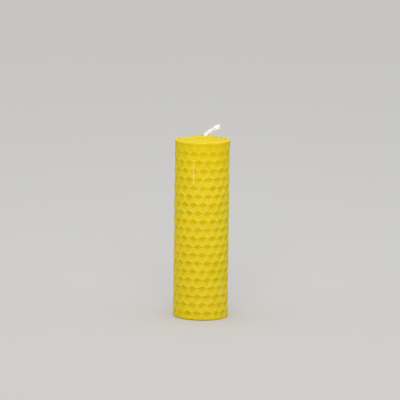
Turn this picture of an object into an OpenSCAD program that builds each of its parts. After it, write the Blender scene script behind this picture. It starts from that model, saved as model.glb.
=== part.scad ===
// Rolled beeswax candle: one strip of embossed honeycomb sheet, rolled up round a braided wick.
// The axis is +Z, the candle stands on z = 0, the viewer's side is -Y and the wick leans towards +X.
// All sizes are in millimetres.

/* [Sheet] */
// Width of the strip at its outer end, which is the height of the candle at its rim
sheet_w = 99; // [60:1:160]
// Thickness of the embossed sheet over its cell walls
sheet_t = 1.86; // [1.4:0.02:2.6]
// Air left between one turn and the next
turn_gap = 0.45; // [0.45:0.05:0.8]
// Number of half turns that the strip makes round the wick
half_turns = 12; // [6:1:18]
// How far the first half turn, round the wick, stands above the rim, because the strip widens inwards
crown_rise = 2.6; // [1.2:0.1:4]
// How far the turns halfway out stand above the rim
shoulder_rise = 0.8; // [0.2:0.1:1.2]
// How far the pressed outer end of the strip stands proud of the round
seam_proud = 0.3; // [0.1:0.05:0.6]

/* [Cells] */
// Width of one honeycomb cell across its flats, from wall middle to wall middle
cell_pitch = 5.4; // [4.9:0.1:5.8]
// Thickness of the wall between two cells
cell_wall = 0.7; // [0.4:0.1:1.2]
// Height of the cell wall above the shallowest corner of the cell's floor
cell_rim = 0.4; // [0.3:0.05:0.7]
// Wax left under the deepest point of a cell
cell_membrane = 0.6; // [0.3:0.05:0.9]
// Depth of the line in the sheet that keeps its length when the sheet is bent
neutral_depth = 0.45; // [0:0.05:0.9]
// Distance along the strip from its outer end to the first cell centre
cell_start = 2.8; // [2.7:0.05:5]
// Height of the lowest row of cell centres
row_start = 2.76; // [2.7:0.02:6]

/* [Wick] */
// Diameter of the braided wick
wick_d = 2.25; // [1.5:0.05:4]
// Clearance between the wick and the wax round it
wick_clearance = 0.15; // [0.1:0.05:0.3]
// How far the wick's lower end stays above the foot of the candle
wick_recess = 0.5; // [0:0.1:3]
// Depth below the rim at which the wick starts to lean
lean_depth = 1.4; // [0.5:0.1:8]
// Radius of the wick's bend
bend_r = 7.4; // [5:0.2:20]
// Angle of the wick's bend
bend_a = 63; // [10:1:80]
// Length of straight braid between the bend and the loosened end
free_len = 1.9; // [0.5:0.1:8]
// Diameter of the loosened, cut end of the wick
tip_d = 3.1; // [2.6:0.1:5]
// Length of the loosened, cut end of the wick
tip_len = 3.6; // [2:0.1:6]
// Length over which the braid swells to the loosened end
tip_swell = 0.9; // [0.3:0.1:1.2]
// Bevel round the cut end of the wick
tip_bevel = 0.6; // [0.1:0.1:0.8]

/* [Hidden] */
$fn = 96;

// Room that a cutter is given past the face that it opens
past = 1;
// Angle between the points at which the air between turns is measured
gap_sample_step = 3;
// Each length of the wick starts this far inside the one below it, and is this much thinner
joint_lap = 0.3;
joint_step = 0.02;
// Step outwards from one turn of the strip to the next
turn_step = sheet_t + turn_gap;
// Radius of the eye that the first half turn leaves for the wick
eye_r = wick_d / 2 + wick_clearance;
// Outer radius of the last half turn, on the left, and of the one before it, on the right
last_r = outer_r(half_turns - 1);
before_last_r = outer_r(half_turns - 2);
// Radius of the round that the finished roll fills
roll_r = (last_r + before_last_r) / 2;
// Radius of the shoulder of the top, halfway between the first half turn and the rim
shoulder_r = (outer_r(0) + roll_r) / 2;
// The half turns' two centres lie this far to either side of the roll's middle
centre_shift = turn_step / 4;
// Place of the wick, which lies in the eye of the first half turn
wick_x = centre_shift;
wick_y = centre_y(0);

// A cell has six walls, and three rhombic faces make its floor
cell_sides = 6;
floor_faces = 3;
// Corner to corner radius of a whole cell, and of the pit inside its walls
cell_corner_r = cell_pitch / sqrt(3);
pit_corner_r = (cell_pitch - cell_wall) / sqrt(3);
// Depth of a cell's floor at its middle, and the tilt of the three faces that meet there
cell_depth = sheet_t - cell_membrane;
floor_tilt = atan((cell_depth - cell_rim) / cell_corner_r);
// Spacing of the cells round the outside, which bending has stretched, and of their rows
column_pitch = cell_pitch * roll_r / (roll_r - neutral_depth);
row_pitch = cell_pitch * sqrt(3) / 2;
// Length of strip that the last whole turn leaves in sight
shown_len = PI * (last_r + before_last_r);
// A row is cut as long as part of its cells lies in the strip
row_count = ceil((sheet_w + shoulder_rise - row_start) / row_pitch);

// Radius of a half turn's inner and outer face, counted from the wick outwards
function inner_r(turn) = eye_r + turn * turn_step / 2;
function outer_r(turn) = inner_r(turn) + sheet_t;
// The last half turn lies on the left and ends at the back, and each one before it is on the other side
function on_left(turn) = (half_turns - 1 - turn) % 2 == 0;
function centre_y(turn) = on_left(turn) ? centre_shift : -centre_shift;
// The half turn in sight at a distance along the strip from its outer end
function turn_at(along) = along < PI * last_r ? half_turns - 1 : half_turns - 2;
// Direction from that half turn's centre to a point at that distance
function angle_at(along) = along < PI * last_r
    ? 90 + along / last_r * 180 / PI
    : 270 + (along - PI * last_r) / before_last_r * 180 / PI;

// Points round one face of a half turn, seen from above
function face_points(turn, radius) = [
    for (angle = [0 : gap_sample_step : 180])
        let (facing = angle + (on_left(turn) ? 90 : -90))
            [radius * cos(facing), centre_y(turn) + radius * sin(facing)]
];
// Shortest distance from the points of one face to those of another
function least_gap(face, other) = min([for (point = face, next = other) norm(point - next)]);

// Least air in the roll, measured on points of the faces that lie one turn apart
echo(least_turn_gap = min([
    for (turn = [2 : half_turns - 1])
        least_gap(face_points(turn - 2, outer_r(turn - 2)), face_points(turn, inner_r(turn)))
]));
// Length that the strip has when it is laid out flat
echo(strip_length = PI * (half_turns * (eye_r + sheet_t / 2)
    + turn_step / 2 * half_turns * (half_turns - 1) / 2));
// Overall diameter of the candle, and height of its wax
echo(roll_diameter = 2 * roll_r, wax_height = sheet_w + crown_rise);

// One half turn of the strip
module half_turn(turn) {
    translate([centre_shift, centre_y(turn), 0])
        rotate(on_left(turn) ? 90 : -90)
            rotate_extrude(angle = 180)
                translate([inner_r(turn), 0])
                    square([sheet_t, sheet_w + crown_rise]);
}

// The strip rolled up, before its top is shaped and its outer end pressed down
module rolled_strip() {
    for (turn = [0 : half_turns - 1]) half_turn(turn);
}

// The round form that rolling and pressing give the whole candle, with a top that rises to the wick
module roll_form() {
    rotate_extrude()
        polygon([
            [0, 0], [roll_r + seam_proud, 0], [roll_r + seam_proud, sheet_w],
            [shoulder_r, sheet_w + shoulder_rise],
            [outer_r(0), sheet_w + crown_rise], [0, sheet_w + crown_rise]
        ]);
}

// One pit, opening towards +Z from the origin: a hexagon whose floor is three rhombic faces
module cell_pit() {
    intersection() {
        translate([0, 0, -cell_depth - past])
            cylinder(r = pit_corner_r, h = cell_depth + 2 * past, $fn = cell_sides);
        intersection_for (face = [0 : floor_faces - 1])
            translate([0, 0, -cell_depth])
                rotate([0, 0, face * 360 / floor_faces])
                    rotate([0, -floor_tilt, 0])
                        translate([-cell_pitch, -cell_pitch, 0])
                            cube([2 * cell_pitch, 2 * cell_pitch, cell_pitch]);
    }
}

// Every pit of the turn in sight, row by row, with each second row moved on by half a cell
module cell_pits() {
    for (row = [0 : row_count - 1]) {
        start = cell_start + (row % 2) * column_pitch / 2;
        columns = floor((shown_len - column_pitch / 2 - start) / column_pitch);
        for (column = [0 : columns]) {
            along = start + column * column_pitch;
            turn = turn_at(along);
            translate([centre_shift, centre_y(turn), row_start + row * row_pitch])
                rotate([0, 0, angle_at(along)])
                    translate([outer_r(turn), 0, 0])
                        rotate([0, 90, 0])
                            rotate([0, 0, 180])
                                cell_pit();
        }
    }
}

// The route of the wick from a height up through the roll and round its bend, with what follows the bend
module wick_route(foot, diameter) {
    bend_d = diameter - joint_step;
    translate([wick_x, wick_y, 0]) {
        translate([0, 0, foot]) cylinder(d = diameter, h = sheet_w - lean_depth - foot);
        translate([0, 0, sheet_w - lean_depth]) {
            translate([0, 0, -joint_lap]) cylinder(d = bend_d, h = joint_lap);
            translate([bend_r, 0, 0])
                rotate([90, 0, 180])
                    rotate_extrude(angle = bend_a)
                        translate([bend_r, 0])
                            circle(d = bend_d);
            translate([bend_r, 0, 0])
                rotate([0, bend_a, 0])
                    translate([-bend_r, 0, 0])
                        children();
        }
    }
}

// The strip of honeycomb sheet
module honeycomb_sheet() {
    color("gold")
        difference() {
            intersection() {
                rolled_strip();
                roll_form();
            }
            cell_pits();
            wick_route(-past, wick_d + 2 * wick_clearance);
        }
}

// The straight end of the braid, and the loosened end that swells out of it
module wick_end() {
    braid_r = wick_d / 2 - joint_step;
    end = free_len + tip_len;
    rotate_extrude()
        polygon([
            [0, -joint_lap], [braid_r, -joint_lap], [braid_r, free_len], [tip_d / 2, free_len + tip_swell],
            [tip_d / 2, end - tip_bevel], [tip_d / 2 - tip_bevel, end], [0, end]
        ]);
}

// The braided wick
module wick() {
    color("ivory") wick_route(wick_recess, wick_d) wick_end();
}

honeycomb_sheet();
wick();
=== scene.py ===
"""Rolled beeswax candle: one honeycomb wax sheet rolled up round a braided cotton wick.

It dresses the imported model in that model's own frame. All lengths are in metres.
"""

import math
from functools import partial

import bmesh
import bpy
import numpy as np
from mathutils import Matrix, Vector


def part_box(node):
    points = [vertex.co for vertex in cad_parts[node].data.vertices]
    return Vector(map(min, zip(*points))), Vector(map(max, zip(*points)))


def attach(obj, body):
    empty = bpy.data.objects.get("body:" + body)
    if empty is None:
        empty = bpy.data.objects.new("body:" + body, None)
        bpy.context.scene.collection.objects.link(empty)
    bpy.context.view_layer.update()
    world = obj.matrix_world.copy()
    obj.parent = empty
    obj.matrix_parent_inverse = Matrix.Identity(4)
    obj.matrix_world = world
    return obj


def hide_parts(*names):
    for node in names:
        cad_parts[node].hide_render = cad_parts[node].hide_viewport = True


bl_info = {
    "name": "Rolled beeswax candle",
    "version": (1, 0, 0),
    "blender": (4, 5, 0),
    "location": "3D View > Sidebar > Candle",
    "description": "Rolls a honeycomb wax sheet round a braided wick and sets the stage for it",
    "category": "Object",
}

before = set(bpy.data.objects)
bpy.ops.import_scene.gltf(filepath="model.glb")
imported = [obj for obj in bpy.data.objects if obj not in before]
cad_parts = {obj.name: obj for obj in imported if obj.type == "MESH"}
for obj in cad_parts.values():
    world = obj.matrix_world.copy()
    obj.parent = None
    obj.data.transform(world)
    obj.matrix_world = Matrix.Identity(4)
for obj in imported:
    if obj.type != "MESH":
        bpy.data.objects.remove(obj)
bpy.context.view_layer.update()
SHEET_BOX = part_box("honeycomb_sheet")
WICK_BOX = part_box("wick")

MM = 0.001
FULL_TURN = 2 * math.pi
BODY = "root"


PROPERTY_KINDS = {
    int: bpy.props.IntProperty,
    float: bpy.props.FloatProperty,
    tuple: bpy.props.FloatVectorProperty,
}


def setting(name, description, default, **look):
    """A whole number, a number or a row of three numbers that a user may change."""
    return PROPERTY_KINDS[type(default)](name=name, description=description, default=default, **look)


length_setting = partial(setting, unit="LENGTH", precision=5)
angle_setting = partial(setting, subtype="ANGLE")
share_setting = partial(setting, subtype="FACTOR")
colour_setting = partial(setting, subtype="COLOR")
place_setting = partial(setting, subtype="TRANSLATION", unit="LENGTH")


class SheetSettings(bpy.types.PropertyGroup):
    """Sizes and colours of the rolled honeycomb sheet"""

    thickness: length_setting("Thickness", "Thickness of the sheet over its cell walls", 1.86 * MM)
    turn_gap: length_setting("Gap", "Air between one turn and the next", 0.45 * MM)
    half_turns: setting("Half turns", "Half turns that the sheet makes round the wick", 12)
    crown_rise: length_setting("Crown", "Height of the wax round the wick above the rim", 2.6 * MM)
    cell_pitch: length_setting("Cell", "Width of a cell across its flats on the flat sheet", 5.4 * MM)
    neutral_depth: length_setting(
        "Neutral depth", "Depth in the sheet that keeps its length when the sheet is bent", 0.45 * MM)
    cell_start: length_setting(
        "First column", "Distance from the sheet's outer end to the first cell centre", 2.8 * MM)
    row_start: length_setting("First row", "Height of the lowest row of cell centres", 2.56 * MM)
    cell_depth: length_setting("Cell depth", "Depth of a cell at its middle", 0.69 * MM)
    cell_rim: length_setting("Wall height", "Height of a wall over the floor's shallow corners", 0.07 * MM)
    wall_dip: share_setting(
        "Wall dip", "How far a wall's top follows the floor beside it down, as a share", 0.65)
    web: length_setting("Web", "Thickness of the wax between the cells of the two faces", 0.72 * MM)
    wall_top: length_setting("Wall top", "Half the width of a cell wall at its top", 0.08 * MM)
    wall_foot: length_setting("Wall foot", "Half the width of a cell wall at its foot", 0.32 * MM)
    wax: colour_setting("Wax", "Colour of the wax", (0.93, 0.637, 0.002))
    # The deep wax colour paints shade in the cells, and also gives the wax's real darker patches
    deep_wax: colour_setting(
        "Deep wax", "Colour of the wax in its cells and its darker patches", (0.87, 0.562, 0.0006))
    # The cut colour is the duller cut edge, and also paints shade on the top face, contact shade at the
    # foot and shade that dims the lit rim
    cut_wax: colour_setting("Cut wax", "Colour of the wax on the sheet's cut edge", (0.77, 0.552, 0.008))
    # The bloom colour is partly real pale bloom and partly a painted sheen on faces that look up
    bloom_and_sheen: colour_setting(
        "Bloom", "Colour of the pale bloom on cell walls and on faces that look up", (0.93, 0.68, 0.042))
    crease: colour_setting("Crease", "Colour of the wax where it is creased or chipped", (0.93, 0.80, 0.30))
    seed: setting("Seed", "Seed of the small unevenness", 7)


class WickSettings(bpy.types.PropertyGroup):
    """Sizes and colours of the braided wick"""

    diameter: length_setting("Diameter", "Diameter of the braid", 2.25 * MM)
    lean_depth: length_setting(
        "Lean depth", "Depth below the rim at which the wick starts to lean", 1.4 * MM)
    bend_radius: length_setting("Bend", "Radius of the bend", 7.4 * MM)
    bend_angle: angle_setting("Lean", "Angle of the bend", math.radians(63))
    free_length: length_setting(
        "Free length", "Straight braid between the bend and the loosened end", 1.9 * MM)
    tip_length: length_setting("Tip", "Length of the loosened end", 3.6 * MM)
    tip_spread: setting("Spread", "Width of the loosened end, in widths of the braid", 1.6)
    strands_each_way: setting("Strands", "Strands that wind each way round the braid", 4)
    braid_pitch: length_setting("Pitch", "Length in which a strand goes once round", 6.4 * MM)
    cotton: colour_setting("Cotton", "Colour of the cotton", (0.92, 0.945, 0.965))
    dull_cotton: colour_setting("Dull cotton", "Colour of the cotton in its grain", (0.86, 0.86, 0.85))
    soaked: colour_setting("Soaked", "Colour of the cotton where wax has soaked in", (0.92, 0.90, 0.76))
    seed: setting("Seed", "Seed of the loose fibres", 11)


class StageSettings(bpy.types.PropertyGroup):
    """Camera, floor and lights"""

    elevation: angle_setting("Elevation", "How far the camera looks down", math.radians(9.6))
    roll: angle_setting("Roll", "Tilt of the camera about its line of sight", math.radians(0.75))
    distance: length_setting("Distance", "From the camera to the point that it looks at", 1.7)
    view_width: length_setting("View width", "Width of the view at that point", 222 * MM)
    aim_height: length_setting("Aim height", "Height of the point that the camera looks at", 65.22 * MM)
    aim_side: length_setting("Aim side", "Sideways place of the point that the camera looks at", -0.95 * MM)
    floor_radius: length_setting("Floor radius", "Radius of the floor", 6.0)
    floor: colour_setting("Floor", "Colour of the floor", (0.62, 0.62, 0.62))
    bounce: colour_setting("Bounce", "Colour of the light that the floor throws back", (0.12, 0.12, 0.12))
    glow: share_setting("Glow", "Share of the floor's own colour that needs no light to be seen", 0.15)
    sky: colour_setting("Sky", "Colour of the light from all round", (1.0, 0.985, 0.96))
    sky_strength: setting("Sky strength", "Strength of the light from all round", 0.86)
    lamp_power: setting("Lamp power", "Power of the lamp", 0.56, unit="POWER")
    lamp_size: length_setting("Lamp size", "Width of the square lamp", 0.5)
    lamp_spread: angle_setting("Lamp spread", "How far the lamp's light spreads", math.radians(60))
    lamp_place: place_setting("Lamp place", "Where the lamp is", (0.0, -0.6, 0.38))
    lamp_aim: place_setting("Lamp aim", "The point that the lamp faces", (0.0, 0.0, 0.2))


def smooth_step(low, high, value):
    """0 below low, 1 above high, and a smooth rise between them."""
    share = np.clip((value - low) / (high - low), 0, 1)
    return share * share * (3 - 2 * share)


def near(distance, reach):
    """1 at no distance, with a smooth fall to 0 at reach."""
    return 1 - smooth_step(0, reach, distance)


def between(value, rise_start, rise_end, fall_start, fall_end):
    """0 outside a smooth rise and a smooth fall, and 1 between them."""
    return smooth_step(rise_start, rise_end, value) * (1 - smooth_step(fall_start, fall_end, value))


def wobble(rng, points, scale, waves=7):
    """Smooth unevenness, mostly between -1 and 1, over flat points, with bumps about as long as scale."""
    total = np.zeros(len(points))
    for _ in range(waves):
        direction = rng.uniform(0, FULL_TURN)
        length = scale * rng.uniform(0.7, 1.6)
        phase = rng.uniform(0, FULL_TURN)
        across = points[:, 0] * math.cos(direction) + points[:, 1] * math.sin(direction)
        total += np.sin(FULL_TURN * across / length + phase)
    return total / math.sqrt(2 * waves)


class Spiral:
    """How the strip lies in the roll: half turns about two centres, counted from the outer end inwards."""

    def __init__(self, sheet):
        low, high = SHEET_BOX
        step = sheet.thickness + sheet.turn_gap
        self.shift = step / 4
        self.roll_radius = (high.x - low.x) / 2
        self.outer = self.roll_radius + self.shift - np.arange(sheet.half_turns) * step / 2
        self.starts = np.concatenate([[0], np.cumsum(math.pi * self.outer)])
        self.length = self.starts[-1]
        self.shown = self.starts[2]
        self.rim = high.z - sheet.crown_rise

    def place(self, along, depth, height):
        """Points of the roll from points of the flat strip, where depth counts from the outer wall tops."""
        half = np.clip(np.searchsorted(self.starts, along, side="right") - 1, 0, len(self.outer) - 1)
        angle = math.pi * (half + 0.5) + (along - self.starts[half]) / self.outer[half]
        radius = self.outer[half] - depth
        middle = np.where(half % 2 == 0, self.shift, -self.shift)
        x = self.shift + radius * np.cos(angle)
        y = middle + radius * np.sin(angle)
        return np.stack([x, y, height], axis=1)


# Every second corner of a cell is a shallow one of its floor, from the first corner on the outer face and
# from the second on the inner face
CELL_SIDES = 6
FIRST_CORNER = math.radians(90)
# Points on a cell's edge between a shallow corner and a deep one, from which a crease of the floor starts
EDGE_SHARES = (0.0, 0.45, 0.88)
# Rings of points in a cell that is looked at, in one near a cut edge, and in a hidden one
SEEN_RINGS = (0.28, 0.55, 0.78, 0.875, 0.905, 0.935, 0.97, 1.0)
EDGE_RINGS = (0.87, 0.96, 1.0)
HIDDEN_RINGS = (1.0,)
# Rows and columns of cells that the strip has past each of its cuts before it is cut
SPARE_CELLS = 2
# How sharp the creases of a cell's floor are
CREASE_SHARPNESS = 7.0
# Points this close together on the flat sheet are one point
WELD = 1e-6


def corner_angle(corner):
    """Direction of a cell's corner from its middle."""
    return FIRST_CORNER + corner * FULL_TURN / CELL_SIDES


def unit_cell(rings, inner):
    """A hexagon of corner radius 1: its points, and its faces ring by ring."""
    outline = []
    for side in range(CELL_SIDES):
        from_deep = (side % 2 == 0) == inner
        shares = [0.0] + [1 - share for share in EDGE_SHARES[:0:-1]] if from_deep else EDGE_SHARES
        start, end = corner_angle(side), corner_angle(side + 1)
        for share in shares:
            outline.append((
                math.cos(start) * (1 - share) + math.cos(end) * share,
                math.sin(start) * (1 - share) + math.sin(end) * share,
            ))
    points = [(0.0, 0.0)] + [(x * ring, y * ring) for ring in rings for x, y in outline]
    around = len(outline)
    faces = [(0, 1 + i, 1 + (i + 1) % around) for i in range(around)]
    for ring in range(len(rings) - 1):
        first, second = 1 + ring * around, 1 + (ring + 1) * around
        for i in range(around):
            j = (i + 1) % around
            faces.append((first + i, second + i, second + j, first + j))
    return np.array(points), faces


def reaches(points, angles):
    """How far points reach in each of some directions."""
    return np.array([points[:, 0] * math.cos(a) + points[:, 1] * math.sin(a) for a in angles])


def floor_share(points, inner):
    """0 at a cell's middle and 1 at its shallow corners, over three rhombic faces with rounded creases."""
    first = 1 if inner else 0
    angles = [corner_angle(corner) for corner in range(first, CELL_SIDES, 2)]
    climbs = reaches(points, angles)
    rounded = np.log(np.exp(CREASE_SHARPNESS * climbs).sum(axis=0)) / CREASE_SHARPNESS
    middle = math.log(len(angles)) / CREASE_SHARPNESS
    return (rounded - middle) / (1 - middle)


def wall_share(sheet, points):
    """1 on top of the cell walls and 0 past their feet."""
    flats = [corner_angle(side + 0.5) for side in range(CELL_SIDES)]
    from_middle = reaches(points, flats).max(axis=0) * sheet.cell_pitch / math.sqrt(3)
    return 1 - smooth_step(sheet.wall_top, sheet.wall_foot, sheet.cell_pitch / 2 - from_middle)


def cell_surface(sheet, points, inner):
    """Depth of one of the sheet's faces over a cell, counted from the outer wall tops, and its walls."""
    wall = wall_share(sheet, points)
    share = floor_share(points, inner)
    fall = sheet.cell_depth - sheet.cell_rim
    dip = sheet.wall_dip * fall * (1 - share)
    if inner:
        floor = sheet.cell_rim + sheet.web + fall * share
        return floor * (1 - wall) + (sheet.thickness - dip) * wall, wall
    floor = sheet.cell_depth - fall * share
    return floor * (1 - wall) + dip * wall, wall


def cells_by_detail(sheet, spiral, inner):
    """How far bending stretches the cells, and their centres, sorted by how closely each is looked at."""
    column = sheet.cell_pitch * spiral.roll_radius / (spiral.roll_radius - sheet.neutral_depth)
    row = sheet.cell_pitch * math.sqrt(3) / 2
    lift = sheet.cell_pitch / math.sqrt(3) if inner else 0
    sorted_cells = {SEEN_RINGS: [], EDGE_RINGS: [], HIDDEN_RINGS: []}
    for r in range(-SPARE_CELLS, math.ceil(spiral.rim / row) + SPARE_CELLS):
        height = sheet.row_start + r * row + lift
        near_edge = height < row or height > spiral.rim - row
        for c in range(-SPARE_CELLS, math.ceil(spiral.length / column) + SPARE_CELLS):
            along = sheet.cell_start + (c + (r % 2) / 2) * column
            seen = not inner and along < spiral.shown + column / 2
            rings = SEEN_RINGS if seen else EDGE_RINGS if near_edge or along < column else HIDDEN_RINGS
            sorted_cells[rings].append((along, height))
    return column / sheet.cell_pitch, sorted_cells


def flat_face(sheet, spiral, inner):
    """Points, walls and faces of one embossed face of the flat strip."""
    radius = sheet.cell_pitch / math.sqrt(3)
    stretch, sorted_cells = cells_by_detail(sheet, spiral, inner)
    points, walls, faces, count = [], [], [], 0
    for rings, centres in sorted_cells.items():
        unit, unit_faces = unit_cell(rings, inner)
        depth, wall = cell_surface(sheet, unit, inner)
        for along, height in centres:
            across = along + unit[:, 0] * radius * stretch
            points.append(np.stack([across, depth, height + unit[:, 1] * radius], axis=1))
            walls.append(wall)
            faces.extend(tuple(count + i for i in face) for face in unit_faces)
            count += len(unit)
    return np.concatenate(points), np.concatenate(walls), faces


def add_values(mesh, name, values):
    """Stores one number for each point of a mesh."""
    mesh.attributes.new(name, "FLOAT", "POINT").data.foreach_set("value", values)


def embossed_strip(sheet, spiral):
    """Both embossed faces of the flat strip, wider and longer than it will be cut."""
    outside, outside_walls, faces = flat_face(sheet, spiral, inner=False)
    inside, inside_walls, inside_faces = flat_face(sheet, spiral, inner=True)
    count = len(outside)
    faces.extend(tuple(count + i for i in face) for face in inside_faces)
    mesh = bpy.data.meshes.new("flat_strip")
    mesh.from_pydata(np.concatenate([outside, inside]).tolist(), [], faces)
    add_values(mesh, "inside", np.repeat([0.0, 1.0], [count, len(inside)]))
    add_values(mesh, "ridge", np.concatenate([outside_walls, inside_walls]))
    bm = bmesh.new()
    bm.from_mesh(mesh)
    bpy.data.meshes.remove(mesh)
    bmesh.ops.remove_doubles(bm, verts=bm.verts, dist=WELD)
    return bm


def layer_values(bm, name):
    """The numbers stored for the points of a mesh."""
    layer = bm.verts.layers.float[name]
    return np.array([v[layer] for v in bm.verts])


def flat_points(bm):
    """Place along the strip, depth and height of every point."""
    return np.array([v.co for v in bm.verts])


# Distances from a cut over which the smeared wax fades, and from the top over which the worn cells do
SMEAR_FADE = (0.2 * MM, 1.5 * MM)
WEAR_FADE = (1 * MM, 12 * MM)
# How far the smeared edges of the turn in sight are pressed in
TOP_PRESSED = 0.08 * MM
FOOT_PRESSED = 0.12 * MM
# Length of the strip's outer end that is pressed down onto the turn below
PRESSED_LENGTH = 14 * MM


def smear_cut_edges(sheet, spiral, bm, on_rim=0.65, gap_closed=0.46, wear=0.4, worn_depth=0.3):
    """Presses the wax along the top and the foot, which closes the cells there and most of the gap."""
    along, depth, height = flat_points(bm).T
    to_top = spiral.rim - height
    inner = layer_values(bm, "inside") > 0.5
    upper = height > spiral.rim / 2
    smear = 1 - smooth_step(*SMEAR_FADE, np.minimum(height, to_top))
    # The rim of the turn in sight is smeared less
    smear = np.where(~inner & upper & (along < spiral.shown), on_rim * smear, smear)
    worn = wear * ~inner * (1 - smooth_step(*WEAR_FADE, to_top))
    depth = depth * (1 - worn) + worn_depth * sheet.cell_depth * worn
    # The wax doesn't swell where the pressed outer end lies on the turn below it
    from_end = np.where(inner, along, along - spiral.shown)
    swell = gap_closed * sheet.turn_gap * smooth_step(0, PRESSED_LENGTH, from_end)
    outer_aim = np.where(along > spiral.shown, -swell, np.where(upper, TOP_PRESSED, FOOT_PRESSED))
    # The innermost turn keeps clear of the wick
    inner_aim = sheet.thickness + np.where(along < spiral.starts[-3], swell, 0)
    aim = np.where(inner, inner_aim, outer_aim)
    ridge = bm.verts.layers.float["ridge"]
    for vert, share, pressed in zip(bm.verts, smear, depth + (aim - depth) * smear):
        vert.co.y = pressed
        vert[ridge] *= 1 - share


def add_lip(bm, row, shift):
    """A second row of points beside a row along a cut edge, joined to it by a row of faces."""
    copies = [bm.verts.new(vert.co + shift, vert) for vert in row]
    for i in range(len(row) - 1):
        bm.faces.new((row[i], row[i + 1], copies[i + 1], copies[i]))
    return copies


def zip_rows(bm, first, second):
    """Joins two rows of points along an edge by triangles, each time across the shorter way."""
    i, j = 0, 0
    while i + 1 < len(first) or j + 1 < len(second):
        one, other = first[i], second[j]
        to_first = (first[i + 1].co - other.co).length if i + 1 < len(first) else math.inf
        to_second = (second[j + 1].co - one.co).length if j + 1 < len(second) else math.inf
        if to_first <= to_second:
            i += 1
            bm.faces.new((one, first[i], other))
        else:
            j += 1
            bm.faces.new((one, second[j], other))


# The cut edges end in rounded lips, which are narrower at the strip's two ends, where the wax is thin
LIP_WIDTH = 0.34 * MM
END_LIP_WIDTH = 0.16 * MM
LIP_HEIGHT = 0.2 * MM


def cut_strip(sheet, spiral):
    """The embossed strip, cut to size and closed round its edges by rounded lips."""
    bm = embossed_strip(sheet, spiral)
    # A point on each cut, the way it faces, the coordinate along it and the width of its lips
    cuts = (
        (Vector((0, 0, LIP_HEIGHT)), Vector((0, 0, -1)), 0, LIP_WIDTH),
        (Vector((0, 0, spiral.rim - LIP_HEIGHT)), Vector((0, 0, 1)), 0, LIP_WIDTH),
        (Vector((0, 0, 0)), Vector((-1, 0, 0)), 2, END_LIP_WIDTH),
        (Vector((spiral.length, 0, 0)), Vector((1, 0, 0)), 2, END_LIP_WIDTH),
    )
    for point, normal, _, _ in cuts:
        bmesh.ops.bisect_plane(
            bm, geom=bm.verts[:] + bm.edges[:] + bm.faces[:], dist=WELD / 10,
            plane_co=point, plane_no=normal, clear_outer=True)
    smear_cut_edges(sheet, spiral, bm)
    inside = bm.verts.layers.float["inside"]
    edges = [
        [v for v in bm.verts if abs((v.co - point).dot(normal)) < WELD] for point, normal, _, _ in cuts]
    for edge, (_, normal, order, width) in zip(edges, cuts):
        lips = []
        for which in (0, 1):
            row = sorted((v for v in edge if round(v[inside]) == which), key=lambda v: v.co[order])
            inwards = Vector((0, width if which == 0 else -width, 0))
            lips.append(add_lip(bm, row, inwards + normal * LIP_HEIGHT))
        zip_rows(bm, *lips)
    bmesh.ops.holes_fill(bm, edges=[edge for edge in bm.edges if edge.is_boundary], sides=0)
    bmesh.ops.recalc_face_normals(bm, faces=bm.faces)
    return bm


# Places along the strip between which the palm's press and the lift of the rim rise, and then fall again
PALM_PLACE = (16 * MM, 25 * MM, 33 * MM, 42 * MM)
RIM_LIFT_PLACE = (14 * MM, 26 * MM, 88 * MM, 90 * MM)


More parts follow.
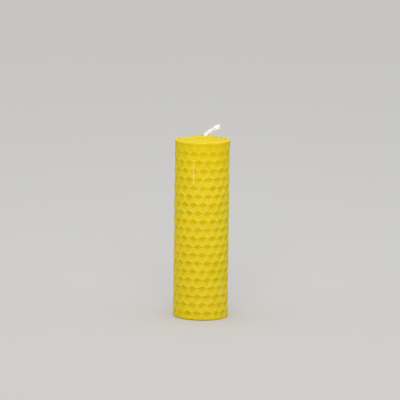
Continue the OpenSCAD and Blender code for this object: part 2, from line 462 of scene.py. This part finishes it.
class Handling:
    """What embossing, rolling and cutting by hand do to the points of the flat strip."""

    def __init__(self, sheet, spiral, flat, ridge, inside):
        self.sheet, self.spiral, self.ridge = sheet, spiral, ridge
        self.rng = np.random.default_rng(sheet.seed)
        self.place, self.level = flat[:, 0], flat[:, 2]
        self.over, self.lengthwise = flat[:, [0, 2]], flat[:, [0, 0]]
        self.to_top = spiral.rim - self.level
        self.from_middle = (
            spiral.roll_radius * np.sqrt(1 - np.clip(self.place / spiral.length, 0, 1)) - flat[:, 1])
        # The face in sight fades in at the outer end, and out before it passes under that end
        self.seen = (1 - inside) * between(self.place, 0, 4 * MM, spiral.shown - 12 * MM, spiral.shown)
        self.along, self.depth, self.height = flat.T.copy()

    def uneven(self, points, amount, scale, above=None):
        """Unevenness over flat points, or only its peaks above a level."""
        waves = wobble(self.rng, points, scale)
        if above is not None:
            waves = np.clip(waves - above, 0, None)
        return amount * waves

    def dent(self):
        """The sheet is a little out of true, and its cells in sight are uneven and dented."""
        self.along += self.uneven(self.over, amount=0.10 * MM, scale=9 * MM)
        wander = self.uneven(self.over, amount=0.08 * MM, scale=11 * MM)
        self.height += wander * smooth_step(0, 6 * MM, self.level)
        self.depth *= 1 + self.seen * self.uneven(self.over, amount=0.16, scale=13 * MM)
        self.depth += self.seen * self.uneven(self.over, amount=0.10 * MM, scale=26 * MM)
        self.depth += self.seen * self.uneven(self.over, amount=0.05 * MM, scale=2.4 * MM)
        wall_dents = self.uneven(self.over, amount=0.3 * MM, scale=6 * MM, above=0.8)
        self.depth += self.seen * self.ridge * wall_dents

    def press_palm(self, press=0.4, depth_left=0.45):
        """The palm that rolled the sheet has pressed its cells flatter on the left."""
        pressed = press * self.seen * between(self.place, *PALM_PLACE)
        self.depth += pressed * (depth_left * self.sheet.cell_depth - self.depth)

    def stand_out(self, step=0.12 * MM, flare=0.05 * MM, reach=22 * MM):
        """The face in sight stands a little out of the round, most of all at its two cuts."""
        from_cut = np.minimum(self.level, self.to_top)
        self.depth -= self.seen * (step + flare * near(from_cut, reach))

    def shape_top(self, power=3, reach=30 * MM, rim_lift=0.38 * MM):
        """The top edge rises towards the wick, and wanders."""
        share = np.clip(self.from_middle / self.spiral.roll_radius, 0, 1)
        rise = self.sheet.crown_rise * (1 - share ** 2) ** power
        rise += rim_lift * between(self.place, *RIM_LIFT_PLACE)
        self.height += rise * near(self.to_top, reach)
        wander = self.uneven(self.lengthwise, amount=0.17 * MM, scale=4 * MM)
        self.height += wander * near(self.to_top, reach=2.5 * MM)

    def chip_foot(self, slant=0.12 * MM, lowest=0.75, reach=2 * MM):
        """The foot is chipped, and cut a little out of square, lowest at a share of the turn."""
        chips = self.uneven(self.lengthwise, amount=0.15 * MM, scale=5 * MM, above=0.6)
        slanted = slant * (1 - np.cos(FULL_TURN * (self.place / self.spiral.shown - lowest)))
        self.height += (chips + slanted) * near(self.level, reach)

    def press_outer_end(self, thinner=0.42, inwards=1.1 * MM):
        """The outer end is pressed down onto the turn below."""
        pressed = near(self.place, PRESSED_LENGTH)
        self.depth = self.depth * (1 - thinner * pressed) + inwards * pressed

    def nick_top(self, reach=2 * MM):
        """The top edge of the turn in sight has small nicks."""
        nicks = self.uneven(self.lengthwise, amount=0.25 * MM, scale=2.2 * MM, above=0.3)
        end = self.spiral.shown
        nicks *= 1 - smooth_step(end - 6 * MM, end - 2 * MM, self.place)
        self.height -= nicks * near(self.to_top, reach)

    def handled(self):
        """Place along the strip, depth and height of every point after all that."""
        self.dent()
        self.press_palm()
        self.stand_out()
        self.shape_top()
        self.chip_foot()
        self.press_outer_end()
        self.nick_top()
        return self.along, self.depth, self.height


def make_room(points, path, wick, room=0.18 * MM, below_bend=6 * MM, steps=160):
    """Pushes points out of the way of the leaning wick."""
    radius = wick.diameter / 2 + room
    travels = np.linspace(path.straight - below_bend, path.length, steps)
    line = np.array([path.at(travel)[0] for travel in travels])
    for i in np.where(points[:, 2] > line[0, 2])[0]:
        gaps = points[i] - line
        distance = np.linalg.norm(gaps, axis=1)
        nearest = distance.argmin()
        if distance[nearest] < radius:
            points[i] = line[nearest] + gaps[nearest] / distance[nearest] * radius


class CANDLE_OT_roll_sheet(bpy.types.Operator):
    """Emboss a strip of wax with honeycomb cells, cut it and roll it up"""

    bl_idname = "candle.roll_sheet"
    bl_label = "Roll sheet"

    def execute(self, context):
        sheet, wick = context.scene.candle_sheet, context.scene.candle_wick
        spiral = Spiral(sheet)
        bm = cut_strip(sheet, spiral)
        flat = flat_points(bm)
        handling = Handling(sheet, spiral, flat, layer_values(bm, "ridge"), layer_values(bm, "inside"))
        rolled = spiral.place(*handling.handled())
        make_room(rolled, WickPath(wick, spiral.rim), wick)
        mesh = smooth_mesh(bm, "honeycomb_wax_sheet")
        mesh.vertices.foreach_set("co", rolled.ravel())
        strip = mesh.attributes.new("strip", "FLOAT_VECTOR", "POINT")
        strip.data.foreach_set("vector", (flat[:, [0, 2, 1]] / MM).ravel())
        mesh.update()
        finish_piece(context, mesh, wax_material(sheet), "honeycomb_sheet")
        return {"FINISHED"}


def smooth_mesh(bm, name):
    """The finished mesh of a piece, with smooth shading."""
    for face in bm.faces:
        face.smooth = True
    mesh = bpy.data.meshes.new(name)
    bm.to_mesh(mesh)
    bm.free()
    return mesh


def finish_piece(context, mesh, material, node):
    """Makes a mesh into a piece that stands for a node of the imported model."""
    piece = bpy.data.objects.new(mesh.name, mesh)
    context.scene.collection.objects.link(piece)
    mesh.materials.append(material)
    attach(piece, BODY)
    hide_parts(node)


class WickPath:
    """The wick's middle line: straight up the eye, then round a bend and straight on, all in one plane."""

    def __init__(self, wick, rim):
        low, high = WICK_BOX
        self.x = low.x + wick.diameter / 2
        self.y = (low.y + high.y) / 2
        self.foot = low.z
        self.radius, self.angle = wick.bend_radius, wick.bend_angle
        self.straight = rim - wick.lean_depth - self.foot
        self.tip_start = self.straight + self.radius * self.angle + wick.free_length
        self.length = self.tip_start + wick.tip_length

    def at(self, travel):
        """Point on the line after a travel from the foot, and the lean of the line there."""
        lean = min(max(travel - self.straight, 0) / self.radius, self.angle)
        rest = max(travel - self.straight - self.radius * self.angle, 0)
        x = self.x + self.radius * (1 - math.cos(lean)) + rest * math.sin(lean)
        z = self.foot + min(travel, self.straight) + self.radius * math.sin(lean) + rest * math.cos(lean)
        return Vector((x, self.y, z)), lean

    def around(self, travel, angle, radius):
        """Point beside the line, at an angle round it and a distance from it."""
        middle, lean = self.at(travel)
        under = Vector((math.cos(lean), 0, -math.sin(lean)))
        return middle + radius * (math.cos(angle) * under + math.sin(angle) * Vector((0, 1, 0)))


def sweep(bm, sections):
    """Joins rings of points into a tube with closed ends."""
    rings = [[bm.verts.new(point) for point in section] for section in sections]
    for first, second in zip(rings, rings[1:]):
        for k in range(len(first)):
            n = (k + 1) % len(first)
            bm.faces.new((first[k], first[n], second[n], second[k]))
    bm.faces.new(rings[0][::-1])
    bm.faces.new(rings[-1])


# A strand of the braid, how far it swings over and under those that cross it, and the yarns in it
STRAND_HALF_WIDTH = 0.54 * MM
STRAND_HALF_HEIGHT = 0.25 * MM
STRAND_SIDES = 14
STRAND_SWING = 0.18 * MM
YARNS = 3
YARN_RIDGE = 0.10
YARN_LAY = 1.6 * MM
# Steps along a strand inside the candle, and near the stub, which starts this far below the bend
HIDDEN_STEP = 0.45 * MM
SHOWN_STEP = 0.13 * MM
SHOWN_BELOW_BEND = 3 * MM
# Shares of the loosened end over which the braid opens, and over which its cut end draws in again
OPENS = (-0.08, 0.2)
DRAWS_IN = (0.7, 1.0)


def looseness(path, travel, drawn_in=0.25):
    """How far the braid has opened, from 0 along the wick to 1 in its loosened end."""
    share = (travel - path.tip_start) / (path.length - path.tip_start)
    return float(smooth_step(*OPENS, share) * (1 - drawn_in * smooth_step(*DRAWS_IN, share)))


def widening(wick, path, travel):
    """How many times as wide as the braid the wick is."""
    return 1 + (wick.tip_spread - 1) * looseness(path, travel)


def core_sections(wick, path, air=0.1 * MM, short=0.2 * MM, step=0.5 * MM, sides=12):
    """Rings of points along the core of the braid, with some air between it and the strands."""
    radius = wick.diameter / 2 - 2 * STRAND_HALF_HEIGHT - air
    turns = [FULL_TURN * k / sides for k in range(sides)]
    sections = []
    for travel in np.arange(air, path.length - short, step):
        wide = radius * (1 + looseness(path, travel))
        sections.append([path.around(travel, angle, wide) for angle in turns])
    return sections


def strand_point(wick, path, travel, way, index, extra=0.0, loose_sag=0.03 * MM):
    """Middle of a strand of the braid, which passes over and under those that wind the other way."""
    turn = FULL_TURN * travel / wick.braid_pitch
    angle = way * turn + FULL_TURN * index / wick.strands_each_way
    middle = wick.diameter / 2 - STRAND_HALF_HEIGHT - STRAND_SWING
    radius = middle + way * STRAND_SWING * math.cos(wick.strands_each_way * turn)
    radius = radius * widening(wick, path, travel) + extra
    lean = path.at(travel)[1]
    sag = Vector((math.cos(lean), 0, -math.sin(lean))) * loose_sag * looseness(path, travel)
    return path.around(travel, angle, radius) + sag


def strand_sections(wick, path, way, index, end, phase, loose_fuller=0.25):
    """Rings of points along one strand, whose yarns show as twisted ridges."""
    shown_from = path.straight - SHOWN_BELOW_BEND
    travels = np.concatenate([
        np.arange(0, shown_from, HIDDEN_STEP), np.arange(shown_from, end, SHOWN_STEP), [end]])
    middles = [strand_point(wick, path, t, way, index) for t in travels]
    sections = []
    for i, travel in enumerate(travels):
        along = (middles[min(i + 1, len(middles) - 1)] - middles[max(i - 1, 0)]).normalized()
        out = strand_point(wick, path, travel, way, index, extra=MM) - middles[i]
        out = (out - along * out.dot(along)).normalized()
        across = along.cross(out)
        fuller = 1 + loose_fuller * looseness(path, travel)
        twist = phase - way * FULL_TURN * travel / YARN_LAY
        ring = []
        for k in range(STRAND_SIDES):
            angle = FULL_TURN * k / STRAND_SIDES
            ridge = fuller * (1 + YARN_RIDGE * math.cos(YARNS * angle + twist))
            ring.append(
                middles[i] + across * (STRAND_HALF_WIDTH * ridge * math.cos(angle))
                + out * (STRAND_HALF_HEIGHT * ridge * math.sin(angle)))
        sections.append(ring)
    return sections


def fibre_sections(start, direction, curl, length, thickness, taper=0.6, steps=5, sides=4):
    """Rings of points along one loose fibre that thins towards its end."""
    side = direction.orthogonal().normalized()
    other = direction.cross(side)
    turns = [FULL_TURN * k / sides for k in range(sides)]
    sections = []
    for i in range(steps):
        share = i / (steps - 1)
        middle = start + direction * (length * share) + curl * (length * share * share)
        radius = thickness / 2 * (1 - taper * share)
        sections.append([middle + radius * (math.cos(a) * side + math.sin(a) * other) for a in turns])
    return sections


def random_vector(rng, size):
    """A vector of one size with no preference for any direction."""
    return size * Vector(rng.normal(size=3)).normalized()


def fray_end(bm, wick, path, way, index, end, rng, ends=16, run=0.6 * MM, past_end=0.35 * MM):
    """A tuft of yarn ends that spreads out of the cut end of one strand, the way that its last run goes."""
    ahead = strand_point(wick, path, end, way, index) - strand_point(wick, path, end - run, way, index)
    for _ in range(ends):
        travel = end - rng.uniform(0.3 * MM, 1.3 * MM)
        aside = rng.uniform(-0.15 * MM, 0.2 * MM)
        start = strand_point(wick, path, travel, way, index, extra=aside)
        direction = (ahead.normalized() + random_vector(rng, size=0.35)).normalized()
        length = min(rng.uniform(0.5 * MM, 1.5 * MM), end - travel + past_end)
        curl = random_vector(rng, size=0.3)
        sweep(bm, fibre_sections(start, direction, curl, length, thickness=0.17 * MM))


def add_fuzz(bm, wick, path, rng, fibres=170, past_bend=6 * MM, short=0.3 * MM, rooted=0.2 * MM):
    """Fine stray fibres along the stub, rooted in the braid."""
    for _ in range(fibres):
        travel = rng.uniform(path.straight + past_bend, path.length - short)
        angle = rng.uniform(0, FULL_TURN)
        start = path.around(travel, angle, (wick.diameter / 2 - rooted) * widening(wick, path, travel))
        out = (path.around(travel, angle, MM) - path.at(travel)[0]).normalized()
        direction = (0.5 * out + random_vector(rng, size=0.8)).normalized()
        curl = random_vector(rng, size=0.5)
        length = rng.uniform(0.3 * MM, 0.75 * MM)
        sweep(bm, fibre_sections(start, direction, curl, length, thickness=0.035 * MM, sides=3))


class CANDLE_OT_braid_wick(bpy.types.Operator):
    """Braid cotton strands round a core along the wick's route, and loosen their cut end"""

    bl_idname = "candle.braid_wick"
    bl_label = "Braid wick"

    def execute(self, context):
        wick = context.scene.candle_wick
        path = WickPath(wick, SHEET_BOX[1].z - context.scene.candle_sheet.crown_rise)
        rng = np.random.default_rng(wick.seed)
        bm = bmesh.new()
        sweep(bm, core_sections(wick, path))
        for way in (1, -1):
            for index in range(wick.strands_each_way):
                cut_short = rng.uniform(0.15 * MM, 0.6 * MM)
                end = path.length - cut_short
                phase = rng.uniform(0, FULL_TURN)
                sweep(bm, strand_sections(wick, path, way, index, end, phase))
                fray_end(bm, wick, path, way, index, end, rng)
        add_fuzz(bm, wick, path, rng)
        bmesh.ops.recalc_face_normals(bm, faces=bm.faces)
        mesh = smooth_mesh(bm, "braided_wick")
        finish_piece(context, mesh, cotton_material(wick), "wick")
        return {"FINISHED"}


class Nodes:
    """A node tree under construction."""

    def __init__(self, tree):
        self.nodes, self.links = tree.nodes, tree.links

    def node(self, kind, inputs=None, **settings):
        """A new node, with its settings made and its inputs set or linked."""
        made = self.nodes.new(kind)
        for name, value in settings.items():
            setattr(made, name, value)
        for name, value in (inputs or {}).items():
            self.feed(made.inputs[name], value)
        return made

    def feed(self, socket, value):
        """Links an output to a socket, or sets the socket to a plain value."""
        if isinstance(value, bpy.types.NodeSocket):
            self.links.new(value, socket)
        else:
            socket.default_value = value

    def math(self, operation, first, *others):
        """The output of a Math node, or of a chain of them."""
        for other in others:
            first = self.node("ShaderNodeMath", {0: first, 1: other}, operation=operation).outputs[0]
        return first

    def vector_math(self, operation, *values):
        """A Vector Math node."""
        return self.node("ShaderNodeVectorMath", dict(enumerate(values)), operation=operation)

    def ramp(self, value, low, high, start=0.0, end=1.0):
        """A value mapped from low..high to start..end."""
        ends = {"From Min": low, "From Max": high, "To Min": start, "To Max": end}
        return self.node("ShaderNodeMapRange", {"Value": value, **ends}).outputs["Result"]

    def vary(self, value, start, end):
        """A value between 0 and 1 mapped to start..end."""
        return self.ramp(value, 0, 1, start, end)

    def mix(self, share, first, second):
        """A mix of two colours."""
        return self.node("ShaderNodeMix", {0: share, 6: first, 7: second}, data_type="RGBA").outputs[2]

    def split(self, vector):
        """The three numbers of a vector."""
        return self.node("ShaderNodeSeparateXYZ", {"Vector": vector}).outputs

    def place(self):
        """Where a point is in the frame."""
        return self.node("ShaderNodeTexCoord").outputs["Object"]

    def stored(self, attribute, output):
        """What is stored for the points of the mesh."""
        return self.node("ShaderNodeAttribute", attribute_name=attribute).outputs[output]

    def bump(self, height, strength):
        """A normal that follows a height in millimetres."""
        inputs = {"Height": height, "Distance": MM, "Strength": strength}
        return self.node("ShaderNodeBump", inputs).outputs["Normal"]


class Shading(Nodes):
    """A node material under construction."""

    def __init__(self, name):
        self.material = bpy.data.materials.new(name)
        self.material.use_nodes = True
        super().__init__(self.material.node_tree)
        self.shader = self.nodes["Principled BSDF"]

    def finish(self, **values):
        """Feeds the shader's sockets, which are named with underscores for spaces."""
        for name, value in values.items():
            self.feed(self.shader.inputs[name.replace("_", " ")], value)
        return self.material


def mottle_group(name="mottle", detail=3.0, noise_range=(0.32, 0.68)):
    """Shader node group: patches and grain over a surface, from a range of noise spread out to 0..1."""
    if name in bpy.data.node_groups:
        return bpy.data.node_groups[name]
    group = bpy.data.node_groups.new(name, "ShaderNodeTree")
    mottles = (("Patch Size", 4 * MM, "Patches"), ("Grain Size", 0.3 * MM, "Grain"))
    for size, default, output in mottles:
        made = group.interface.new_socket(size, in_out="INPUT", socket_type="NodeSocketFloat")
        made.default_value = default
        group.interface.new_socket(output, in_out="OUTPUT", socket_type="NodeSocketFloat")
    tree = Nodes(group)
    entry, leave, place = tree.node("NodeGroupInput"), tree.node("NodeGroupOutput"), tree.place()
    for size, _, output in mottles:
        scale = tree.math("DIVIDE", 1.0, entry.outputs[size])
        noise = tree.node("ShaderNodeTexNoise", {"Vector": place, "Scale": scale, "Detail": detail})
        tree.feed(leave.inputs[output], tree.ramp(noise.outputs["Fac"], *noise_range))
    return group


def place_mottle(shading, patch_size, grain_size=0.5 * MM):
    """The mottle group in a material, with its own sizes."""
    sizes = {"Patch Size": patch_size, "Grain Size": grain_size}
    made = shading.node("ShaderNodeGroup", sizes, node_tree=mottle_group())
    return made.outputs["Patches"], made.outputs["Grain"]


# Pale lines where the sheet has been creased: place along the strip, lower end and upper end. These and the
# other sizes on the strip that its material uses are in millimetres.
CREASES = ((44.15, 76.0, 88.0), (62.0, 10.8, 22.4), (56.6, 1.2, 4.4))
CREASE_HALF_WIDTH = 0.34
CREASE_FADE = 0.8
# The foot and the edge take the cut colour, which there paints contact shade at the foot and shade that
# dims the lit rim
# Heights over which the foot begins, and distances below the rim over which the handled wax and the edge do
FOOT_FADE = (3.0, 0.4)
HANDLED_FADE = (20, 3)
EDGE_FADE = 2.4
# How far up a face looks that catches bloom and painted sheen, and one that is cut, whose duller colour
# also paints shade on the top
BLOOM_AND_SHEEN_FACES = (-0.05, 0.145)
CUT_FACES = (0.3, 0.9)


class WaxShading(Shading):
    """The beeswax under construction, with the values that its masks share."""

    def __init__(self, sheet):
        super().__init__("beeswax")
        self.patches, self.grain = place_mottle(self, patch_size=5 * MM)
        self.spots, _ = place_mottle(self, patch_size=1.3 * MM)
        self.strip = self.stored("strip", "Vector")
        self.along, self.height, self.depth = self.split(self.strip)
        self.ridge = self.stored("ridge", "Fac")
        self.normal = self.node("ShaderNodeNewGeometry").outputs["Normal"]
        self.up = self.split(self.normal)["Z"]
        self.rim = (SHEET_BOX[1].z - sheet.crown_rise) / MM
        self.foot = self.ramp(self.height, *FOOT_FADE)
        self.top_edge = self.ramp(self.height, self.rim - EDGE_FADE, self.rim)

    def crease(self, place, low, high, core=0.4):
        """1 on the core of one crease, which wavers, and 0 beside it."""
        waver = self.vary(self.grain, -0.12, 0.12)
        off = self.math("ADD", self.math("SUBTRACT", self.along, place), waver)
        off = self.node("ShaderNodeMath", {0: off}, operation="ABSOLUTE").outputs[0]
        line = self.ramp(off, CREASE_HALF_WIDTH, core * CREASE_HALF_WIDTH)
        start = self.ramp(self.height, low - CREASE_FADE, low + CREASE_FADE)
        end = self.ramp(self.height, high + CREASE_FADE, high - CREASE_FADE)
        return self.math("MULTIPLY", line, start, end)

    def looks_along(self):
        """How far a face looks along the rolled sheet, towards the way that it was rolled."""
        x, y, _ = self.split(self.place())
        along = self.node("ShaderNodeCombineXYZ", {"X": self.math("MULTIPLY", y, -1.0), "Y": x}).outputs[0]
        along = self.vector_math("NORMALIZE", along).outputs["Vector"]
        return self.vector_math("DOT_PRODUCT", self.normal, along).outputs["Value"]

    def bloom_and_sheen(self, sideways=-0.4, on_handled=0.3, on_cuts=0.4, on_edge=0.12):
        """Pale bloom and a painted sheen on the faces that look up and a little to one side, and pale cell
        walls that are partly worn and partly painted light, but not on the foot.
        """
        start, end = (self.rim - distance for distance in HANDLED_FADE)
        unhandled = self.ramp(self.height, start, end, 1.0, on_handled)
        uncut = self.ramp(self.up, *CUT_FACES, 1.0, on_cuts)
        turned = self.math("ADD", self.up, self.math("MULTIPLY", self.looks_along(), sideways))
        spotted = self.math(
            "MULTIPLY", self.vary(self.patches, 0.7, 1.0), self.vary(self.spots, 0.55, 1.25))
        # Painted sheen: faces turned up and a little to one side are paler, mottled like real bloom
        upturned_bloom_and_sheen = self.math("MULTIPLY", self.ramp(turned, *BLOOM_AND_SHEEN_FACES), spotted, unhandled, uncut)
        # Pale wall tops, partly wear and partly painted light on the raised walls
        worn = self.math("MULTIPLY", self.ridge, self.ramp(self.patches, 1, 0, 0.3, 0.75), unhandled, uncut)
        above_foot = self.math("SUBTRACT", 1.0, self.foot)
        pale = self.math("MULTIPLY", self.math("MAXIMUM", upturned_bloom_and_sheen, worn), above_foot)
        return self.math("MAXIMUM", pale, self.math("MULTIPLY", self.top_edge, on_edge))

    def flecks(self, per_millimetre=0.35):
        """Small pale specks, most of them on the cell walls."""
        inputs = {"Vector": self.strip, "Scale": per_millimetre}
        cells = self.node("ShaderNodeTexVoronoi", inputs, voronoi_dimensions="2D")
        chance = self.node("ShaderNodeSeparateColor", {"Color": cells.outputs["Color"]}).outputs["Red"]
        chosen = self.ramp(chance, 0.72, 1.0)
        ragged = self.math("ADD", cells.outputs["Distance"], self.vary(self.grain, -0.1, 0.1))
        spot = self.ramp(ragged, 0.2, 0.08)
        return self.math("MULTIPLY", spot, chosen, self.vary(self.ridge, 0.35, 1.0))

    def body(self, sheet, deepest=0.68, in_cells=0.75):
        """Colour of the wax without its bloom and painted sheen: darker in the cells as painted shade, with
        darker patches, and duller on the cut edges, where it also paints shade.
        """
        # Painted shade: the deeper a point lies in its cell, the darker the wax; the mottled patches are
        # real darker tone
        deep = self.math("MULTIPLY", self.ramp(self.depth, 0, deepest), in_cells)
        deep = self.math("ADD", deep, self.vary(self.patches, 0.0, 0.25))
        # The cut colour also paints shade: on faces that look up, as contact shade at the foot, and over
        # the lit rim
        cut = self.math("MAXIMUM", self.ramp(self.up, *CUT_FACES), self.foot, self.top_edge)
        wax = self.mix(deep, (*sheet.wax, 1), (*sheet.deep_wax, 1))
        return self.mix(cut, wax, (*sheet.cut_wax, 1))


def wax_material(sheet, whiteness=0.8, crease_height=0.25):
    """Beeswax: a soft, slightly see-through yellow with a satin sheen, partly painted as pale colour on
    faces that look up, pale ridges that are partly worn and partly painted light, and painted shade in its
    cells.
    """
    wax = WaxShading(sheet)
    creased = wax.math("MAXIMUM", *(wax.crease(*crease) for crease in CREASES))
    whitened = wax.math("MULTIPLY", wax.math("MAXIMUM", creased, wax.flecks()), whiteness)
    with_bloom_and_sheen = wax.mix(wax.bloom_and_sheen(), wax.body(sheet), (*sheet.bloom_and_sheen, 1))
    relief = wax.math("ADD", wax.vary(wax.grain, 0, 0.06), wax.math("MULTIPLY", creased, crease_height))
    return wax.finish(
        Base_Color=wax.mix(whitened, with_bloom_and_sheen, (*sheet.crease, 1)),
        Roughness=wax.vary(wax.grain, 0.42, 0.6),
        Normal=wax.bump(relief, strength=0.6),
        Specular_IOR_Level=0.1,
        Subsurface_Weight=1.0,
        Subsurface_Radius=(1.0, 0.7, 0.06),
        Subsurface_Scale=2.4 * MM)


def cotton_material(wick, dry_above=1.2 * MM, wet_below=-0.4 * MM, waver=0.5 * MM):
    """White cotton, with wax soaked into the foot of the stub up to a wavering height over the wax."""
    cotton = Shading("wick_cotton")
    patches, grain = place_mottle(cotton, patch_size=1.2 * MM, grain_size=0.12 * MM)
    height = cotton.math("ADD", cotton.split(cotton.place())["Z"], cotton.vary(patches, -waver, waver))
    soak = cotton.ramp(height, SHEET_BOX[1].z + dry_above, SHEET_BOX[1].z + wet_below)
    shade = cotton.mix(cotton.vary(grain, 0.0, 0.5), (*wick.cotton, 1), (*wick.dull_cotton, 1))
    return cotton.finish(
        Base_Color=cotton.mix(soak, shade, (*wick.soaked, 1)),
        Roughness=cotton.vary(grain, 0.75, 0.95),
        Normal=cotton.bump(cotton.vary(grain, 0, 0.05), strength=0.7),
        Subsurface_Weight=0.5,
        Subsurface_Radius=(1.0, 0.97, 0.94),
        Subsurface_Scale=0.5 * MM,
        Sheen_Weight=0.2,
        Sheen_Roughness=0.5)


def floor_material(stage):
    """A matt floor that the camera sees paler than the light that it throws back on the candle."""
    floor = Shading("floor")
    rays = floor.node("ShaderNodeLightPath").outputs
    seen = floor.math("MAXIMUM", *(rays[f"Is {kind} Ray"] for kind in ("Camera", "Glossy", "Transmission")))
    glow = floor.node("ShaderNodeEmission", {"Color": (*stage.floor, 1), "Strength": 1.0})
    mixed = floor.node("ShaderNodeMixShader", {
        0: floor.math("MULTIPLY", seen, stage.glow), 1: floor.shader.outputs[0], 2: glow.outputs[0]})
    floor.links.new(mixed.outputs[0], floor.nodes["Material Output"].inputs["Surface"])
    return floor.finish(
        Base_Color=floor.mix(seen, (*stage.bounce, 1), (*stage.floor, 1)),
        Roughness=0.8,
        Specular_IOR_Level=0.1)


def add_lamp(context, stage):
    """A soft square lamp that faces a point."""
    data = bpy.data.lights.new("key", "AREA")
    data.shape = "SQUARE"
    data.size = stage.lamp_size
    data.spread = stage.lamp_spread
    data.energy = stage.lamp_power
    lamp = bpy.data.objects.new("key", data)
    lamp.location = stage.lamp_place
    facing = Vector(stage.lamp_aim) - Vector(stage.lamp_place)
    lamp.rotation_euler = facing.to_track_quat("-Z", "Y").to_euler()
    context.scene.collection.objects.link(lamp)


def add_floor(context, stage):
    """A wide plain floor."""
    bm = bmesh.new()
    bmesh.ops.create_circle(bm, cap_ends=True, segments=96, radius=stage.floor_radius)
    mesh = bpy.data.meshes.new("floor")
    bm.to_mesh(mesh)
    bm.free()
    floor = bpy.data.objects.new("floor", mesh)
    context.scene.collection.objects.link(floor)
    mesh.materials.append(floor_material(stage))


def light_world(context, stage):
    """Even light from all round."""
    world = bpy.data.worlds.new("studio")
    context.scene.world = world
    world.use_nodes = True
    background = world.node_tree.nodes["Background"]
    background.inputs["Color"].default_value = (*stage.sky, 1)
    background.inputs["Strength"].default_value = stage.sky_strength


def add_camera(context, stage):
    """The camera, which looks slightly down at the candle."""
    data = bpy.data.cameras.new("camera")
    camera = bpy.data.objects.new("camera", data)
    context.scene.collection.objects.link(camera)
    target = Vector((stage.aim_side, 0, stage.aim_height))
    back = Vector((0, -math.cos(stage.elevation), math.sin(stage.elevation)))
    camera.location = target + back * stage.distance
    tilt = Matrix.Rotation(stage.roll, 4, "Z")
    camera.rotation_euler = ((-back).to_track_quat("-Z", "Y").to_matrix().to_4x4() @ tilt).to_euler()
    data.lens = data.sensor_width * stage.distance / stage.view_width
    context.scene.camera = camera


class CANDLE_OT_set_stage(bpy.types.Operator):
    """Make the floor, the lights and the camera"""

    bl_idname = "candle.set_stage"
    bl_label = "Set stage"

    def execute(self, context):
        stage = context.scene.candle_stage
        context.scene.view_settings.view_transform = "Standard"
        for step in (add_floor, light_world, add_lamp, add_camera):
            step(context, stage)
        return {"FINISHED"}


class CANDLE_PT_build(bpy.types.Panel):
    """Lists the candle's sizes and the steps that build it"""

    bl_idname = "CANDLE_PT_build"
    bl_label = "Rolled candle"
    bl_space_type = "VIEW_3D"
    bl_region_type = "UI"
    bl_category = "Candle"

    def draw(self, context):
        for settings, operator in (
            (context.scene.candle_sheet, CANDLE_OT_roll_sheet),
            (context.scene.candle_wick, CANDLE_OT_braid_wick),
            (context.scene.candle_stage, CANDLE_OT_set_stage),
        ):
            box = self.layout.box()
            for name in settings.bl_rna.properties.keys():
                if name not in ("rna_type", "name"):
                    box.prop(settings, name)
            box.operator(operator.bl_idname)


SETTINGS = {
    "candle_sheet": SheetSettings,
    "candle_wick": WickSettings,
    "candle_stage": StageSettings,
}
CLASSES = (
    *SETTINGS.values(), CANDLE_OT_roll_sheet, CANDLE_OT_braid_wick, CANDLE_OT_set_stage, CANDLE_PT_build,
)


def register():
    """Adds the classes and their settings to Blender."""
    for cls in CLASSES:
        bpy.utils.register_class(cls)
    for name, group in SETTINGS.items():
        setattr(bpy.types.Scene, name, bpy.props.PointerProperty(type=group))


def unregister():
    """Takes the settings and the classes out of Blender again."""
    for name in SETTINGS:
        delattr(bpy.types.Scene, name)
    for cls in reversed(CLASSES):
        bpy.utils.unregister_class(cls)


def main():
    """Builds the candle and its stage."""
    register()
    bpy.ops.candle.roll_sheet()
    bpy.ops.candle.braid_wick()
    bpy.ops.candle.set_stage()


if __name__ == "__main__":
    main()
